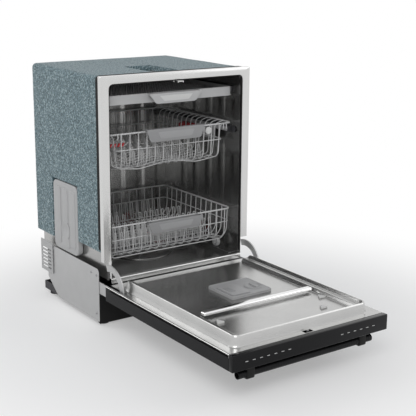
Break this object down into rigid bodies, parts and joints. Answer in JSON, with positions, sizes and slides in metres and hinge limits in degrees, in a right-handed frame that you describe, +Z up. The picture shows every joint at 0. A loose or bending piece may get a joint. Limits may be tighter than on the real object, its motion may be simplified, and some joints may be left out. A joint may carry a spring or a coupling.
{
  "type": "built in dishwasher",
  "caption": "Built-in dishwasher with a drop-down door shown open, two wire racks and a cutlery tray that slide out over it, felt-wrapped steel tub, black base.",
  "frame": {"origin": "on the floor under the middle of the machine with its door open", "axes": "+X to the machine's left side seen from behind, the right as one faces it; +Y to the back; +Z up; the door opens towards -Y"},
  "size_m": [0.598, 1.234, 0.86],
  "materials": {
    "tub_steel": "bright annealed stainless sheet",
    "frame_steel": "polished stainless channel",
    "liner_steel": "brushed stainless pressing",
    "polished_steel": "polished",
    "galvanised": "galvanised, light spangle",
    "coated_steel": "dark grey paint",
    "door_black": "satin black enamel",
    "gloss_black": "gloss",
    "rail_steel": "black coated steel",
    "spring_steel": "oiled spring steel",
    "ballast": "rough cast",
    "motor_casing": "die cast",
    "felt": "pressed recycled felt, blue-grey with flecks",
    "rubber_black": "moulded",
    "plastic_light": "moulded, light grey",
    "plastic_white": "moulded, white",
    "plastic_grey": "moulded, mid grey",
    "plastic_dark": "moulded, dark grey",
    "plastic_black": "moulded, black",
    "plastic_red": "moulded, red",
    "plastic_dispenser": "moulded, grey",
    "plastic_handle": "moulded, slate grey",
    "coated_wire": "grey nylon coating on steel wire"
  },
  "bodies": {
    "cabinet": {"tub_wrapper": "tub_steel", "tub_back": "tub_steel", "tub_floor": "tub_steel", "front_frame": "frame_steel", "tub_gasket": "rubber_black", "insulation_blanket": "felt", "worktop_plate": "coated_steel", "air_break": "plastic_light", "base_tray": "plastic_dark", "base_sides": "galvanised", "toe_kick": "plastic_black", "rear_grille": "plastic_light", "hinge_brackets": "galvanised", "balance_springs": "spring_steel", "door_striker": "frame_steel", "inlet_valve": "plastic_white", "drain_pump": "plastic_dark", "junction_box": "plastic_black", "sump": "plastic_grey", "circulation_pump": "motor_casing", "counterweight": "ballast", "fixed_rails": "rail_steel", "filter_plate": "tub_steel", "feed_pipe": "plastic_grey"},
    "foot_front_left": {"foot_front_left": "plastic_dark"},
    "foot_front_right": {"foot_front_right": "plastic_dark"},
    "feet_rear": {"feet_rear": "plastic_dark"},
    "filter_cup": {"filter_cup": "plastic_grey"},
    "salt_cap": {"salt_cap": "plastic_red"},
    "lower_spray_arm": {"lower_spray_arm": "plastic_grey"},
    "door": {"door_shell": "door_black", "door_liner": "liner_steel", "control_panel": "gloss_black", "door_handle": "door_black", "handle_brackets": "door_black", "hinge_arms": "galvanised", "dispenser": "plastic_dispenser", "baffle_rail": "polished_steel"},
    "dispenser_lid": {"dispenser_lid": "plastic_dispenser"},
    "rinse_cap": {"rinse_cap": "plastic_dispenser"},
    "latch_hook": {"latch_hook": "spring_steel"},
    "lower_rack": {"lower_rack_floor": "coated_wire", "lower_rack_walls": "coated_wire", "lower_rack_handle": "plastic_handle", "lower_tines": "coated_wire"},
    "lower_folding_tines": {"lower_folding_tines": "coated_wire"},
    "lower_wheels_front": {"lower_wheels_front": "plastic_light"},
    "lower_wheels_middle": {"lower_wheels_middle": "plastic_light"},
    "lower_wheels_rear": {"lower_wheels_rear": "plastic_light"},
    "middle_rails": {"middle_rails": "rail_steel"},
    "upper_carriage": {"height_adjusters": "plastic_light"},
    "upper_rack": {"upper_rack_floor": "coated_wire", "upper_rack_sides": "coated_wire", "upper_rack_ends": "coated_wire", "upper_rack_rims": "coated_wire", "upper_rack_handle": "plastic_handle", "upper_feed_tube": "plastic_grey"},
    "height_levers": {"height_levers": "plastic_red"},
    "cup_shelf": {"cup_shelf": "coated_wire"},
    "middle_spray_arm": {"middle_spray_arm": "plastic_grey"},
    "cutlery_tray": {"cutlery_tray": "plastic_light"}
  },
  "joints": [
    {"name": "door_hinge", "type": "hinge", "parent": "cabinet", "child": "door", "pos_m": [0, 0.089, 0.15], "axis": [1, 0, 0], "range_deg": [-90, 0]},
    {"name": "lower_rack_slide", "type": "slide", "parent": "cabinet", "child": "lower_rack", "axis": [0, -1, 0], "range_m": [0, 0.45]},
    {"name": "upper_rack_slide", "type": "slide", "parent": "cabinet", "child": "upper_carriage", "axis": [0, -1, 0], "range_m": [0, 0.45]},
    {"name": "middle_rail_slide", "type": "slide", "parent": "cabinet", "child": "middle_rails", "axis": [0, -1, 0], "range_m": [0, 0.225]},
    {"name": "upper_rack_height", "type": "slide", "parent": "upper_carriage", "child": "upper_rack", "axis": [0, 0, -1], "range_m": [-0.04, 0]},
    {"name": "cutlery_tray_slide", "type": "slide", "parent": "cabinet", "child": "cutlery_tray", "axis": [0, -1, 0], "range_m": [0, 0.44]},
    {"name": "lower_wheel_front_spin", "type": "hinge", "parent": "lower_rack", "child": "lower_wheels_front", "pos_m": [0, 0.218, 0.2044], "axis": [1, 0, 0], "continuous": true},
    {"name": "lower_wheel_middle_spin", "type": "hinge", "parent": "lower_rack", "child": "lower_wheels_middle", "pos_m": [0, 0.322, 0.2044], "axis": [1, 0, 0], "continuous": true},
    {"name": "lower_wheel_rear_spin", "type": "hinge", "parent": "lower_rack", "child": "lower_wheels_rear", "pos_m": [0, 0.509, 0.2044], "axis": [1, 0, 0], "continuous": true},
    {"name": "lower_tines_fold", "type": "hinge", "parent": "lower_rack", "child": "lower_folding_tines", "pos_m": [0, 0.409, 0.235], "axis": [1, 0, 0], "range_deg": [-80, 0]},
    {"name": "cup_shelf_fold", "type": "hinge", "parent": "upper_rack", "child": "cup_shelf", "pos_m": [-0.209, 0.105, 0.604], "axis": [0, 1, 0], "range_deg": [-85, 0]},
    {"name": "height_lever_press", "type": "hinge", "parent": "upper_rack", "child": "height_levers", "pos_m": [0, 0.441, 0.625], "axis": [1, 0, 0], "range_deg": [-10, 0]},
    {"name": "lower_arm_spin", "type": "hinge", "parent": "cabinet", "child": "lower_spray_arm", "pos_m": [0, 0.367, 0], "axis": [0, 0, 1], "continuous": true},
    {"name": "middle_arm_spin", "type": "hinge", "parent": "upper_rack", "child": "middle_spray_arm", "pos_m": [0, 0.367, 0], "axis": [0, 0, 1], "continuous": true},
    {"name": "filter_cup_turn", "type": "hinge", "parent": "cabinet", "child": "filter_cup", "pos_m": [-0.056, 0.387, 0], "axis": [0, 0, 1], "range_deg": [-90, 0]},
    {"name": "salt_cap_turn", "type": "hinge", "parent": "cabinet", "child": "salt_cap", "pos_m": [0.15, 0.495, 0], "axis": [0, 0, 1], "range_deg": [-90, 0]},
    {"name": "dispenser_lid_slide", "type": "slide", "parent": "door", "child": "dispenser_lid", "axis": [1, 0, 0], "range_m": [-0.05, 0]},
    {"name": "rinse_cap_turn", "type": "hinge", "parent": "door", "child": "rinse_cap", "pos_m": [0.077, -0.221, 0], "axis": [0, 0, 1], "range_deg": [-90, 0]},
    {"name": "latch_hook_swing", "type": "hinge", "parent": "door", "child": "latch_hook", "pos_m": [0, -0.585, 0.15], "axis": [1, 0, 0], "range_deg": [-8, 0]},
    {"name": "foot_front_left_screw", "type": "slide", "parent": "cabinet", "child": "foot_front_left", "axis": [0, 0, 1], "range_m": [-0.02, 0]},
    {"name": "foot_front_right_screw", "type": "slide", "parent": "cabinet", "child": "foot_front_right", "axis": [0, 0, 1], "range_m": [-0.02, 0]},
    {"name": "feet_rear_screw", "type": "slide", "parent": "cabinet", "child": "feet_rear", "axis": [0, 0, 1], "range_m": [-0.02, 0]}
  ],
  "couplings": [
    {"joint": "middle_rail_slide", "follows": "upper_rack_slide", "ratio": 0.5},
    {"joint": "lower_wheel_front_spin", "follows": "lower_rack_slide", "rad_per_m": 55.556},
    {"joint": "lower_wheel_middle_spin", "follows": "lower_rack_slide", "rad_per_m": 55.556},
    {"joint": "lower_wheel_rear_spin", "follows": "lower_rack_slide", "rad_per_m": 55.556}
  ]
}
